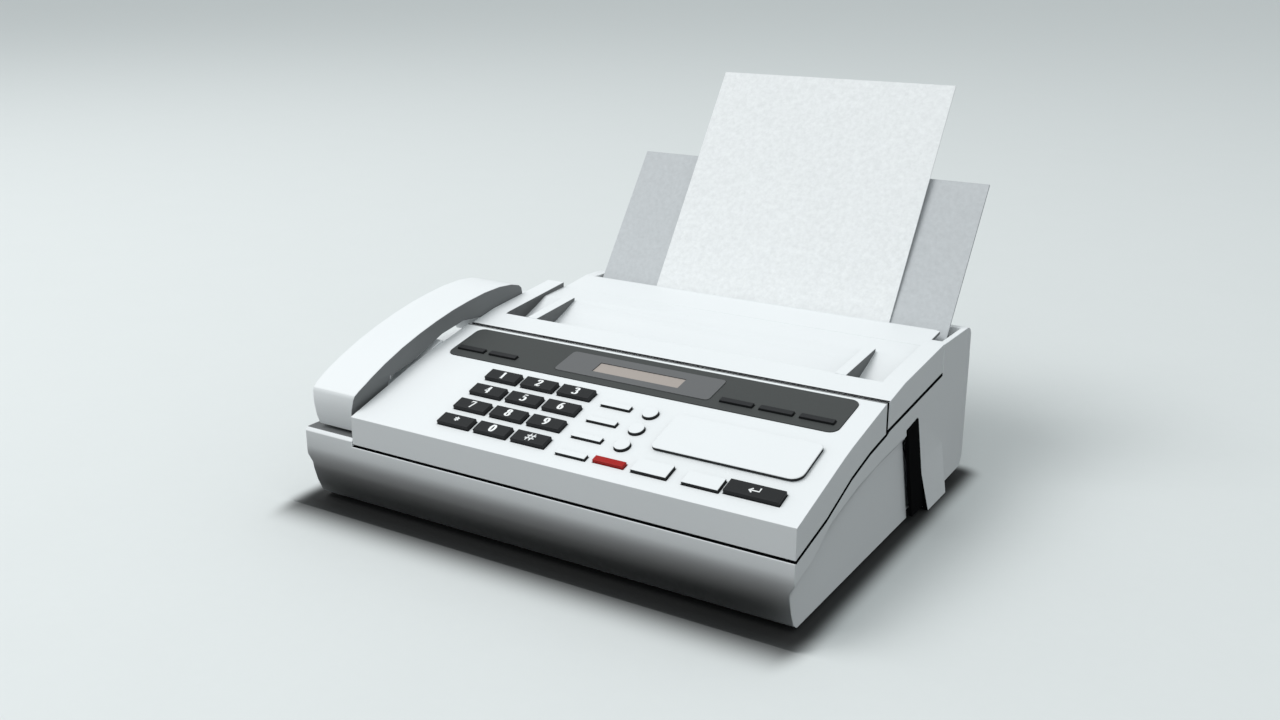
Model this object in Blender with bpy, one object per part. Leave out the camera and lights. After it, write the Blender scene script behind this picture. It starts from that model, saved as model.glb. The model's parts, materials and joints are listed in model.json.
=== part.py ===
"""Plain-paper fax machine with a handset in a cradle, a hinged control panel and a hinged lid.

Every number in the outlines below is in millimetres: x from the left side of the case, y back from
its front face and z up from the table. point() turns them into metres about the middle of the base.
"""
import math

import bmesh
import bpy
from mathutils import Matrix, Vector

# ---------------------------------------------------------------- driving dimensions (millimetres)
WIDTH = 400.0
DEPTH_WITH_PAPER = 404.6
MIDDLE_X = WIDTH / 2
MIDDLE_Y = DEPTH_WITH_PAPER / 2
GAP = 0.3
WALL = 2.5
SIDE_WALL = 6.5
SIDE_RECESS = 3.5

HANDSET_LEFT, HANDSET_RIGHT = 3.0, 46.0
PANEL_LEFT = 46.6
RECESS_LEFT, RECESS_RIGHT = 62.8, 385.0
LID_FRONT, LID_BORDER_REAR, LID_REAR = 141.4, 247.5, 280.0

PANEL_TOP = [(0.5, 75.4), (68.6, 95.9), (82.6, 99.5), (137.7, 111.0)]
PANEL_SEAM = [(138.3, 88.7), (111.2, 85.1), (81.5, 78.1), (44.0, 64.3), (0.5, 54.0)]
CASE_SEAM = [(0.0, 52.0), (44.0, 62.5), (81.5, 76.3), (111.2, 83.3), (139.5, 87.1), (144.7, 89.2),
             (248.3, 98.6)]
CASE_FRONT_FOOT = [(14.0, 2.0), (9.0, 5.7), (4.6, 16.0), (1.8, 26.4), (0.0, 39.6)]
CASE_REAR_FOOT = [(311.0, 12.0), (305.0, 6.0), (268.0, 5.0), (262.0, 2.0)]
SIDE_BAND = [(25.0, 44.4), (52.5, 59.4), (95.0, 68.4), (134.0, 72.4)]

# The front slope carries the keys and the rear slope carries the display strip.
FRONT_SLOPE_START = (0.5, 75.4)
FRONT_SLOPE = math.atan2(95.9 - 75.4, 68.6 - 0.5)
REAR_SLOPE_START = (82.6, 99.5)
REAR_SLOPE = math.atan2(111.0 - 99.5, 137.7 - 82.6)

KEY_HEIGHT = 3.0
KEY_WIDTH, KEY_DEPTH = 27.3, 10.4
KEY_LEFT = (116.0, 148.0, 180.0)
KEY_FRONT = 14.5
KEY_ROW_PITCH = 18.3
KEY_NAMES = (("key_star", "key_0", "key_hash"), ("key_7", "key_8", "key_9"),
             ("key_4", "key_5", "key_6"), ("key_1", "key_2", "key_3"))
BUTTON_DROP = 4.6
HOLE_GAP = 0.45

PAPER_WIDTH, PAPER_THICK, PAPER_LEAN = 210.0, 0.8, math.radians(35.0)
PAPER_SLOT = (286.0, 121.0)
PAPER_ABOVE, PAPER_BELOW, PAPER_LEFT = 206.0, 33.0, 132.5
SUPPORT_LEAN = math.radians(36.5)
SUPPORT_SLOT = (288.0, 121.0)
SUPPORT_ABOVE, SUPPORT_BELOW, SUPPORT_THICK = 124.0, 20.0, 1.6
SUPPORT_LEFT, SUPPORT_RIGHT = 76.8, 389.2

GUIDE_LEFTS = {"left": 84.0, "right": 349.2}
GUIDE_WIDTH = 8.8
HOOK_PLACE = (24.0, 20.0)
PANEL_HINGE = (200.0, 138.0, 111.0)
LID_HINGE = (200.0, 280.0, 121.9)
COVER_SIDES = (277.0, 37.0, 384.5, 74.0)
COVER_MIDDLE, COVER_HINGE_Y = 330.75, 73.0

GEAR_MODULE = 0.8
PLATEN_TEETH, MOTOR_TEETH = 40, 15
PLATEN_CENTRE = (255.0, 74.0)
MESH_ANGLE = math.radians(245.0)
MESH_DISTANCE = GEAR_MODULE * (PLATEN_TEETH + MOTOR_TEETH) / 2 + 0.15
MOTOR_CENTRE = (PLATEN_CENTRE[0] + MESH_DISTANCE * math.cos(MESH_ANGLE),
                PLATEN_CENTRE[1] + MESH_DISTANCE * math.sin(MESH_ANGLE))
DOCUMENT_ROLLER_CENTRE = (160.0, 90.4)
FILM_ROLL_CENTRE = (205.0, 58.0)


# ---------------------------------------------------------------- helpers
def clear_scene():
    for item in list(bpy.data.objects):
        bpy.data.objects.remove(item, do_unlink=True)


def point(x, y, z):
    """A place in case millimetres as metres about the middle of the base."""
    return Vector(((x - MIDDLE_X) / 1000, (y - MIDDLE_Y) / 1000, z / 1000))


def finish(name, colour, rough=0.5, metal=0.0):
    material = bpy.data.materials.new(name)
    material.use_nodes = True
    shader = material.node_tree.nodes["Principled BSDF"]
    shader.inputs["Base Color"].default_value = (*colour, 1.0)
    shader.inputs["Roughness"].default_value = rough
    shader.inputs["Metallic"].default_value = metal
    return material


def new_object(name, mesh_data, material=None):
    """Turn bmesh data into a named object whose faces point outwards."""
    bmesh.ops.recalc_face_normals(mesh_data, faces=mesh_data.faces)
    mesh = bpy.data.meshes.new(name)
    mesh_data.to_mesh(mesh)
    mesh_data.free()
    item = bpy.data.objects.new(name, mesh)
    bpy.context.scene.collection.objects.link(item)
    if material:
        mesh.materials.append(material)
    return item


def loft(name, first, second, material=None):
    """Close the space between two outlines that have the same number of corners."""
    data = bmesh.new()
    low = [data.verts.new(place) for place in first]
    high = [data.verts.new(place) for place in second]
    data.faces.new(low)
    data.faces.new(list(reversed(high)))
    count = len(low)
    for i in range(count):
        j = (i + 1) % count
        data.faces.new((low[j], low[i], high[i], high[j]))
    return new_object(name, data, material)


def prism(name, outline, left, right, material=None):
    """An outline of (y, z) corners extended along x."""
    return loft(name, [point(left, y, z) for y, z in outline],
                [point(right, y, z) for y, z in outline], material)


def block(name, low, high, material=None):
    """A box between two corners."""
    outline = [(low[1], low[2]), (high[1], low[2]), (high[1], high[2]), (low[1], high[2])]
    return prism(name, outline, low[0], high[0], material)


def circle(centre, radius, segments=32):
    turns = [2 * math.pi * i / segments for i in range(segments)]
    return [(centre[0] + radius * math.cos(t), centre[1] + radius * math.sin(t)) for t in turns]


def as_helper(item):
    """Hide a cutter or an added lump: it only shapes another object."""
    item.hide_render = True
    item.display_type = "WIRE"
    return item


def boolean(target, helper, operation):
    as_helper(helper)
    modifier = target.modifiers.new(helper.name, "BOOLEAN")
    modifier.operation = operation
    modifier.solver = "EXACT"
    modifier.object = helper


def cut(target, *helpers):
    for helper in helpers:
        boolean(target, helper, "DIFFERENCE")


def add(target, *helpers):
    for helper in helpers:
        boolean(target, helper, "UNION")


def turned(name, centre, steps, material=None, segments=32):
    """A stepped shaft along x: steps lists (x, radius) from left to right."""
    data = bmesh.new()
    rings = []
    for x, radius in steps:
        rings.append([data.verts.new(point(x, y, z)) for y, z in circle(centre, radius, segments)])
    data.faces.new(rings[0])
    data.faces.new(rings[-1])
    for near, far in zip(rings, rings[1:]):
        for i in range(segments):
            j = (i + 1) % segments
            data.faces.new((near[i], near[j], far[j], far[i]))
    item = new_object(name, data, material)
    item.data.shade_smooth()
    item.data.set_sharp_from_angle(angle=math.radians(30))
    return item


def hang(name, place, children):
    """Parent pieces to an empty that stands on their joint's axis, leaving them where they are."""
    pivot = bpy.data.objects.new(name, None)
    pivot.location = place
    bpy.context.scene.collection.objects.link(pivot)
    for child in children:
        item = bpy.data.objects[child]
        item.parent = pivot
        item.matrix_parent_inverse = Matrix.Translation(-place)
    return pivot


# ---------------------------------------------------------------- pieces that lie on a slope
def on_slope(start, slope, y):
    """The point on a slope at depth y."""
    return (y, start[1] + (y - start[0]) * math.tan(slope))


def slope_piece(name, outline, low, high, slope_data, material=None, top_inset=0.0):
    """A plate whose outline is (x, y) seen from above, between two heights along the slope's normal."""
    start, slope = slope_data
    middle_x = sum(x for x, _ in outline) / len(outline)
    middle_y = sum(y for _, y in outline) / len(outline)
    data = bmesh.new()

    def ring(height, inset):
        places = []
        for x, y in outline:
            across, along = x - middle_x, (y - middle_y) / math.cos(slope)
            across -= math.copysign(inset, across)
            along -= math.copysign(inset, along)
            places.append(data.verts.new(Vector((across, along, height)) / 1000))
        return places

    levels = [ring(low, 0.0), ring(high - top_inset, 0.0)]
    if top_inset:
        levels.append(ring(high, top_inset))
    data.faces.new(levels[0])
    data.faces.new(levels[-1])
    for lower, upper in zip(levels, levels[1:]):
        for i in range(len(outline)):
            j = (i + 1) % len(outline)
            data.faces.new((lower[i], lower[j], upper[j], upper[i]))
    item = new_object(name, data, material)
    item.location = point(middle_x, *on_slope(start, slope, middle_y))
    item.rotation_euler = (slope, 0, 0)
    return item


def rectangle(left, front, right, rear, grow=0.0):
    return [(left - grow, front - grow), (right + grow, front - grow),
            (right + grow, rear + grow), (left - grow, rear + grow)]


def rounded(left, front, right, rear, radii, grow=0.0, steps=5):
    """A rectangle with round corners: radii run front left, front right, rear right, rear left."""
    corners = ((left, front, 1, 1, 180), (right, front, -1, 1, 270),
               (right, rear, -1, -1, 0), (left, rear, 1, -1, 90))
    outline = []
    for (x, y, side, end, angle), radius in zip(corners, radii):
        middle_x, middle_y = x + side * radius, y + end * radius
        reach = radius + grow
        for i in range(steps + 1):
            turn = math.radians(angle + 90 * i / steps)
            outline.append((middle_x + reach * math.cos(turn), middle_y + reach * math.sin(turn)))
    return outline


FRONT = (FRONT_SLOPE_START, FRONT_SLOPE)
REAR = (REAR_SLOPE_START, REAR_SLOPE)


def disc(x, y, radius, segments=24):
    return circle((x, y), radius, segments)


# ---------------------------------------------------------------- the buttons' places
def button_table():
    """Every button as name, slope, outline, height, edge chamfer, finish and hole outline."""
    table = []
    for row, names in enumerate(KEY_NAMES):
        front = KEY_FRONT + row * KEY_ROW_PITCH
        for left, name in zip(KEY_LEFT, names):
            sides = (left, front, left + KEY_WIDTH, front + KEY_DEPTH)
            table.append((name, FRONT, rectangle(*sides), KEY_HEIGHT, 0.3, "black",
                          rectangle(*sides, HOLE_GAP)))
    for number, front in enumerate((67.9, 49.8, 31.5, 12.7), start=1):
        sides = (218.3, front, 241.6, front + 4.6)
        name = f"function_key_{number}"
        table.append((name, FRONT, rectangle(*sides), 2.0, 0.2, "white", rectangle(*sides, HOLE_GAP)))
    for number, middle in enumerate((70.0, 52.0, 34.0), start=1):
        name = f"round_key_{number}"
        table.append((name, FRONT, disc(257.5, middle, 5.5), 2.2, 0.2, "white",
                      disc(257.5, middle, 5.5 + HOLE_GAP)))
    bottom_keys = (("stop_key", (247.2, 13.8, 270.6, 18.8), 2.2, "red"),
                   ("menu_key", (276.8, 13.2, 303.0, 25.4), 2.4, "white"),
                   ("copy_key", (314.2, 13.2, 340.3, 24.7), 2.4, "white"),
                   ("start_key", (343.3, 14.3, 381.5, 25.7), 3.0, "black"))
    for name, sides, height, colour in bottom_keys:
        table.append((name, FRONT, rectangle(*sides), height, 0.25, colour, rectangle(*sides, HOLE_GAP)))
    for number, left in enumerate((66.2, 96.0, 294.0, 323.9, 353.6), start=1):
        sides = (left, 99.8, left + 24.6, 104.4)
        name = f"display_key_{number}"
        table.append((name, REAR, rectangle(*sides), 2.0, 0.2, "black", rectangle(*sides, HOLE_GAP)))
    return table


# ---------------------------------------------------------------- case
def make_lower_case(plastic):
    """The tray: sides, floor, handset cradle and the rear corners."""
    shared = CASE_FRONT_FOOT + CASE_SEAM
    middle = shared + [(307.5, 98.6), (311.0, 98.6)] + CASE_REAR_FOOT
    right = shared + [(248.3, 122.2), (303.0, 121.2), (307.5, 119.0), (310.4, 115.0)] + CASE_REAR_FOOT
    left_rear = (shared + [(251.8, 98.9), (251.8, 111.0), (300.0, 109.5), (308.0, 104.0)]
                 + CASE_REAR_FOOT)
    cradle = CASE_FRONT_FOOT + [
        (0.0, 56.0), (2.5, 58.5), (44.5, 58.5), (50.0, 68.0), (70.0, 88.0), (86.0, 99.0), (104.0, 106.0),
        (106.5, 105.0), (107.5, 86.0), (164.0, 88.0), (212.0, 88.0), (215.5, 110.5), (219.0, 112.0),
        (251.8, 107.0), (300.0, 93.0), (309.5, 86.0)]
    case = prism("lower_case", middle, PANEL_LEFT - 1.0, WIDTH, plastic)
    add(case, prism("case_right_rear", right, RECESS_RIGHT + 1.0, WIDTH),
        prism("case_left_rear", left_rear, PANEL_LEFT - 1.0, RECESS_LEFT - 0.3),
        prism("case_cradle", cradle + CASE_REAR_FOOT, 0.0, PANEL_LEFT - 0.4))
    floor, wall = 4.5, 3.0
    front_curve = [(wall, 40.0), (wall + 2.0, 26.0), (wall + 5.0, 15.0), (wall + 9.5, 7.0),
                   (wall + 14.0, floor)]
    tray = prism("tray_space", [(wall, 130.0)] + front_curve + [(245.0, floor), (245.0, 130.0)],
                 PANEL_LEFT + 2.4, WIDTH - SIDE_WALL)
    rear = prism("rear_space", [(240.0, floor + 2), (307.0, floor + 4.5), (307.0, 15.0), (320.0, 15.0),
                                (320.0, 130.0), (240.0, 130.0)], RECESS_LEFT + 3.2, RECESS_RIGHT - 2.0)
    cradle_roof = [(238.0, floor), (238.0, 84.0), (110.0, 82.0), (102.0, 100.0), (88.0, 95.0), (73.0, 85.0),
                   (54.0, 66.0), (48.0, 55.0), (wall, 55.0)]
    under_cradle = prism("cradle_space", front_curve + cradle_roof, SIDE_WALL, PANEL_LEFT + 4.0)
    cut(case, tray, rear, under_cradle)
    hook_x, hook_y = HOOK_PLACE
    hook_hole = block("hook_hole", (hook_x - 4.4, hook_y - 4.4, 40.0), (hook_x + 4.4, hook_y + 4.4, 70.0))
    pocket = block("corner_pocket", (RECESS_RIGHT, 255.0, 103.5), (395.5, 297.0, 130.0))
    cut(case, hook_hole, pocket)
    for side, face, inner in (("right", WIDTH, WIDTH - SIDE_WALL), ("left", 0.0, SIDE_WALL)):
        out = 1 if side == "right" else -1
        low = ([(-2.0, -1.0), (-2.0, 30.0)] + [(y, z - 7.0) for y, z in SIDE_BAND]
               + [(192.5, 68.5), (213.0, -1.0)])
        wide = [(-2.0, -1.0), (-2.0, 37.3)] + SIDE_BAND + [(190.4, 75.5), (213.0, -1.0)]
        depth_face = face - out * SIDE_RECESS
        recess = loft(f"side_recess_{side}", [point(depth_face, y, z) for y, z in low],
                      [point(face + out * 0.6, y, z) for y, z in wide])
        slot = prism(f"side_slot_{side}", [(178.5, 78.0), (200.0, 80.8), (225.5, -3.0), (202.0, -3.0)],
                     inner - out * 2.0, face + out * 2.0)
        near = [point(face - out * 2.5, 211.5, 42.0), point(face, 211.5, 42.0),
                point(face + out * 4.5, 224.6, 0.3), point(face - out * 2.5, 224.6, 0.3)]
        far = [point(face - out * 2.5, 259.0, 42.0), point(face, 259.0, 42.0),
               point(face + out * 4.5, 263.0, 0.3), point(face - out * 2.5, 263.0, 0.3)]
        cut(case, recess, slot)
        add(case, loft(f"side_foot_{side}", near, far))
    return case


def make_rear_cover(plastic):
    """The top strip behind the lid and the back wall, with the paper slot and the socket holes."""
    left, right = RECESS_LEFT + 3.6, RECESS_RIGHT - 2.4
    outline = [(280.6, 121.9), (303.0, 121.2), (307.5, 119.0), (310.4, 115.0), (311.0, 98.6), (310.8, 15.4),
               (307.6, 15.4), (307.6, 112.0), (304.0, 117.6), (280.6, 118.6)]
    cover = prism("rear_cover", outline, left, right, plastic)
    top = [(280.6, 121.9), (303.0, 121.2), (307.5, 119.0), (310.4, 115.0), (311.0, 100.0), (307.6, 99.2),
           (307.6, 112.0), (304.0, 117.6), (280.6, 118.6)]
    add(cover, prism("cover_left_top", top, RECESS_LEFT + 0.2, left + 0.5),
        prism("cover_right_top", [(297.4, 121.4)] + top[1:8] + [(297.4, 118.0)], right - 0.5,
              RECESS_RIGHT + 0.7))
    slot_outline = [(281.4, 116.0), (281.4, 124.0), (297.0, 124.0), (297.0, 116.0)]
    cut(cover, prism("paper_slot", slot_outline, SUPPORT_LEFT - 4.0, RECESS_RIGHT + 2.0),
        block("power_hole", (339.7, 300.0, 23.7), (366.3, 315.0, 44.3)),
        block("line_hole", (79.7, 300.0, 23.7), (114.3, 315.0, 40.3)))
    return cover


def make_foot(name, x, y, rubber):
    """A rubber disc under a corner."""
    outline = disc(x, y, 9.0)
    return loft(name, [point(px, py, 0.0) for px, py in outline], [point(px, py, 1.7) for px, py in outline],
                rubber)


# ---------------------------------------------------------------- control panel
def make_panel(parts, buttons):
    """The hinged shell with its keys, display and board."""
    shell = prism("panel_shell", PANEL_TOP + PANEL_SEAM, PANEL_LEFT, WIDTH, parts["white"])
    inside = [(0.5 + WALL, 50.0), (0.5 + WALL, 75.4 - 1.8), (68.0, 93.2), (82.6, 96.9),
              (137.7 - WALL, 107.9), (137.7 - WALL, 50.0)]
    cut(shell, prism("panel_space", inside, PANEL_LEFT + WALL, WIDTH - WALL))
    strip_sides = (62.0, 91.4, 383.5, 133.5)
    bed = slope_piece("strip_bed", rounded(*strip_sides, (6.5,) * 4, GAP), -0.9, 2.0, REAR)
    strip = slope_piece("display_strip", rounded(*strip_sides, (6.5,) * 4), -0.6, 0.5, REAR, parts["strip"])
    window_sides = (157.0, 98.5, 286.0, 126.5)
    window = slope_piece("display_window", rounded(*window_sides, (3.0,) * 4), -0.5, 0.9, REAR,
                         parts["window"])
    window_hole = slope_piece("window_hole", rounded(*window_sides, (3.0,) * 4, GAP), -4.0, 4.0, REAR)
    screen_sides = (186.3, 105.8, 257.5, 118.0)
    screen_hole = slope_piece("screen_hole", rectangle(*screen_sides, GAP), -6.0, 4.0, REAR)
    cut(shell, bed, screen_hole)
    cut(strip, window_hole)
    cut(window, screen_hole)
    lcd = slope_piece("lcd_module", rectangle(176.0, 99.0, 268.0, 125.0), -6.5, -3.2, REAR, parts["screen"])
    add(lcd, slope_piece("lcd_screen", rectangle(*screen_sides), -4.0, 0.3, REAR))
    board_outline = rectangle(70.0, 9.0, 386.0, 92.0)
    slope_piece("panel_board", board_outline, -9.0, -7.4, FRONT, parts["board"])
    block("image_sensor", (95.0, 112.0, 84.5), (355.0, 129.0, 93.5), parts["black"])

    slot = block("document_pass", (96.0, 132.0, 96.0), (356.0, 142.0, 102.0))
    cut(shell, slot)
    for name, slope_data, outline, height, chamfer, colour, hole in buttons:
        slope_piece(name, outline, -BUTTON_DROP, height, slope_data, parts[colour], chamfer)
        cutter = slope_piece(f"hole_{name}", hole, -8.0, 4.0, slope_data)
        cut(shell, cutter)
        if slope_data is REAR:
            cut(strip, cutter)
    cover = slope_piece("directory_cover", rounded(*COVER_SIDES, (4.0, 8.0, 4.0, 4.0)), GAP, 2.9,
                        FRONT, parts["white"], 0.4)
    for number, middle in enumerate((300.0, 361.0), start=1):
        hook = rectangle(middle - 4, 69.4, middle + 4, 71.6)
        hook_pass = rectangle(middle - 5, 67.2, middle + 5, 72.4)
        add(cover, slope_piece(f"cover_hook_{number}", hook, -3.2, 1.0, FRONT))
        cut(shell, slope_piece(f"hook_pass_{number}", hook_pass, -6.0, 2.0, FRONT))


# ---------------------------------------------------------------- lid
LID_TOP = [(LID_FRONT, 110.5), (170.2, 115.8), (LID_BORDER_REAR, 122.7)]
RECESS_FLOOR = [(150.0, 103.2), (170.0, 104.0), (192.0, 106.0), (207.0, 111.5), (220.0, 117.0),
                (251.0, 118.8), (LID_REAR, 121.9)]


def floor_height(y):
    """The recess floor's height at depth y."""
    for (y0, z0), (y1, z1) in zip(RECESS_FLOOR, RECESS_FLOOR[1:]):
        if y0 <= y <= y1:
            return z0 + (z1 - z0) * (y - y0) / (y1 - y0)
    return RECESS_FLOOR[-1][1]


def make_lid(parts):
    """The hinged lid with the document slot, its recess and the two sliding guides."""
    border = LID_TOP + [(LID_BORDER_REAR, 100.5), (144.9, 91.0), (LID_FRONT, 90.6)]
    shell = prism("lid_shell", border, PANEL_LEFT, WIDTH, parts["white"])
    tongue = [(240.0, 118.0), (251.0, 118.8), (LID_REAR, 121.9), (LID_REAR, 119.2), (251.0, 116.0),
              (240.0, 112.0)]
    add(shell, prism("lid_tongue", tongue, RECESS_LEFT + 0.5, RECESS_RIGHT + 0.4))
    over = ([(165.8, 130.0), (165.8, 112.6), (150.0, 109.6)] + RECESS_FLOOR[:-1]
            + [(260.0, 119.8), (260.0, 130.0)])
    under = [(143.9, 80.0), (143.9, 100.6), (170.0, 101.4), (193.0, 103.4), (221.0, 114.3), (245.0, 115.7),
             (245.0, 80.0)]
    feed = block("document_feed", (96.0, 138.0, 103.6), (356.0, 151.0, 108.6))
    cut(shell, prism("recess_space", over, RECESS_LEFT, RECESS_RIGHT),
        prism("lid_space", under, PANEL_LEFT + WALL, WIDTH - WALL), feed)
    for side, left in GUIDE_LEFTS.items():
        foot = [(y, floor_height(y) + GAP) for y in (220.0, 207.0, 192.0, 170.0, 166.4)]
        guide = prism(f"guide_{side}", [(166.4, 115.0), (220.0, 119.8)] + foot, left, left + GUIDE_WIDTH,
                      parts["white"])
        add(guide, block(f"guide_tab_{side}", (left + 1.4, 153.0, 104.6), (left + 7.4, 168.0, 108.0)))


# ---------------------------------------------------------------- paper
def leaning_sheet(name, left, right, slot, lean, above, below, thick, material):
    """A flat sheet that leans back out of a slot."""
    along = Vector((math.sin(lean), math.cos(lean)))
    across = Vector((math.cos(lean), -math.sin(lean)))
    foot, top = Vector(slot) - along * below, Vector(slot) + along * above
    outline = [foot, top, top + across * thick, foot + across * thick]
    return prism(name, [tuple(corner) for corner in outline], left, right, material)


# ---------------------------------------------------------------- handset
HANDSET_TOP = [
    (6.2, 86.0), (7.6, 88.6), (12.0, 91.6), (24.0, 97.8), (40.0, 104.6), (60.0, 111.8), (80.0, 117.6),
    (100.0, 122.4), (120.0, 126.4), (140.0, 129.2), (160.0, 131.2), (180.0, 131.6), (196.0, 130.0),
    (206.0, 127.2), (209.6, 124.4)]
HANDSET_REAR = [(211.4, 116.0), (211.0, 106.0), (208.0, 93.0)]
HANDSET_UNDER = [(170.0, 93.0), (164.0, 104.0), (156.0, 112.0), (132.0, 114.4), (106.0, 110.4), (86.0, 103.4),
                 (68.0, 97.2), (50.0, 94.2), (44.0, 90.0), (40.0, 61.0)]
HANDSET_FRONT = [(7.0, 61.0), (5.4, 68.0), (5.0, 78.0)]
HANDSET_WALL = 2.2
# Each end draws in below a crease: front, rear, crease height, foot height and how far it draws in.
HANDSET_ENDS = (("mouth", -2.0, 45.0, 95.0, 58.0, 5.8), ("ear", 158.0, 216.0, 112.0, 88.0, 5.0))


def handset_prism(name, outline, inset, material=None):
    """A handset profile given its width, less an inset, with both ends drawn in at the sides."""
    item = prism(name, outline, HANDSET_LEFT + inset, HANDSET_RIGHT - inset, material)
    for end, front, rear, crease, foot, draw in HANDSET_ENDS:
        for side, face, out in (("left", HANDSET_LEFT + inset, -1), ("right", HANDSET_RIGHT - inset, 1)):
            beyond = face + out * 3.0
            section = [(face, crease), (beyond, crease), (beyond, foot), (face - out * draw, foot)]
            cut(item, loft(f"{name}_{end}_{side}", [point(x, front, z) for x, z in section],
                           [point(x, rear, z) for x, z in section]))
    return item


def make_handset(parts):
    """A grip with its mouthpiece and earpiece, closed from below."""
    outer = HANDSET_TOP + HANDSET_REAR + HANDSET_UNDER + HANDSET_FRONT
    shell = handset_prism("handset_upper_shell", outer, 0.0, parts["white"])
    inner = [
        (9.6, 86.0), (24.0, 95.0), (60.0, 109.2), (100.0, 119.8), (140.0, 126.6), (180.0, 129.0),
        (200.0, 126.4), (207.4, 122.0), (208.4, 106.0), (206.0, 90.0), (172.6, 90.0), (166.2, 102.4),
        (157.2, 111.0), (132.0, 111.0), (107.0, 107.4), (87.0, 100.4), (69.0, 94.2), (50.0, 90.8),
        (44.8, 86.5), (37.0, 58.0),
        (9.8, 58.0), (8.4, 68.0), (8.0, 78.0)]
    cut(shell, handset_prism("handset_space", inner, HANDSET_WALL))
    lower = [
        (10.4, 61.4), (36.6, 61.4), (41.0, 79.0), (44.4, 90.9), (50.0, 94.6), (68.0, 97.6), (86.0, 103.8),
        (106.0, 110.8), (132.0, 114.8), (156.5, 112.6), (165.0, 104.6), (172.0, 93.4), (205.4, 93.4),
        (205.8, 96.0), (174.4, 96.0), (168.0, 106.4), (158.6, 115.2), (131.0, 117.6), (104.6, 113.4),
        (84.6, 106.4), (67.0, 100.2), (48.0, 97.0), (41.4, 92.4), (34.4, 63.8), (10.6, 63.8)]
    lower_shell = handset_prism("handset_lower_shell", lower, HANDSET_WALL + 0.4, parts["grey"])
    middle_x = (HANDSET_LEFT + HANDSET_RIGHT) / 2
    for name, y, low in (("handset_microphone", 22.5, 64.2), ("handset_receiver", 189.0, 96.4)):
        outline = disc(middle_x, y, 9.5)
        loft(name, [point(x, py, low) for x, py in outline],
             [point(x, py, low + 6.0) for x, py in outline], parts["black"])
        for number in range(5):
            turn = math.tau * number / 5
            x, hole_y = middle_x + 5 * math.cos(turn), y + 5 * math.sin(turn)
            outline = disc(x, hole_y, 1.1, 12)
            hole = loft(f"{name}_hole_{number}", [point(px, py, low - 6) for px, py in outline],
                        [point(px, py, low - 0.1) for px, py in outline])
            cut(lower_shell, hole)


# ---------------------------------------------------------------- the drive inside
def gear_outline(centre, teeth, turn):
    """Involute-like teeth on pitch circles of the same module; turn points at a tooth's middle."""
    pitch = GEAR_MODULE * teeth / 2
    base = pitch * math.cos(math.radians(20))
    outer, root = pitch + 0.9 * GEAR_MODULE, pitch - 1.2 * GEAR_MODULE
    half_at_pitch = math.pi / (2 * teeth) - 0.08 / pitch

    def roll(radius):
        angle = math.acos(min(1.0, base / radius))
        return math.tan(angle) - angle

    levels = [max(root, base * 1.0001), (base + outer) / 2, outer]
    halves = [half_at_pitch + roll(pitch) - roll(radius) for radius in levels]
    outline = []
    for tooth in range(teeth):
        middle = turn + math.tau * tooth / teeth
        flank = [(root, halves[0])] + list(zip(levels, halves))
        flank = flank if root < levels[0] - 0.01 else flank[1:]
        for radius, half in flank:
            outline.append((radius, middle - half))
        for radius, half in reversed(flank):
            outline.append((radius, middle + half))
    return [(centre[0] + r * math.cos(a), centre[1] + r * math.sin(a)) for r, a in outline]


def make_drive(parts):
    """The print roller and its motor, the document roller and the film roll."""
    platen = turned("platen_roller", PLATEN_CENTRE, [(84, 3), (98, 3), (98, 9), (322, 9), (322, 3), (342, 3)],
                    parts["rubber"])
    gear = gear_outline(PLATEN_CENTRE, PLATEN_TEETH, MESH_ANGLE)
    add(platen, prism("platen_gear", gear, 333.0, 339.0))
    pinion = gear_outline(MOTOR_CENTRE, MOTOR_TEETH, MESH_ANGLE + math.pi + math.pi / MOTOR_TEETH)
    prism("motor_gear", pinion, 332.5, 339.5, parts["brass"])
    turned("feed_motor", MOTOR_CENTRE, [(340.2, 4.5), (342.0, 4.5), (342.0, 14.0), (368.0, 14.0)],
           parts["steel"])
    turned("document_roller", DOCUMENT_ROLLER_CENTRE,
           [(90, 3), (102, 3), (102, 8.5), (350, 8.5), (350, 3), (362, 3)], parts["rubber"])
    turned("film_supply_roll", FILM_ROLL_CENTRE,
           [(92, 4), (106, 4), (106, 17), (314, 17), (314, 4), (328, 4)], parts["black"])
    block("thermal_head", (104.0, 236.5, 66.0), (316.0, 245.4, 82.0), parts["steel"])
    block("main_board", (64.0, 100.0, 8.0), (372.0, 225.0, 9.6), parts["board"])


def make_socket(name, low, high, openings, material):
    """A socket body with its openings at the back."""
    body = block(name, low, high, material)
    for number, (left, right, bottom, top) in enumerate(openings):
        front, rear = high[1] - 10.0, high[1] + 2.0
        cut(body, block(f"{name}_opening_{number}", (left, front, bottom), (right, rear, top)))
    return body


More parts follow.
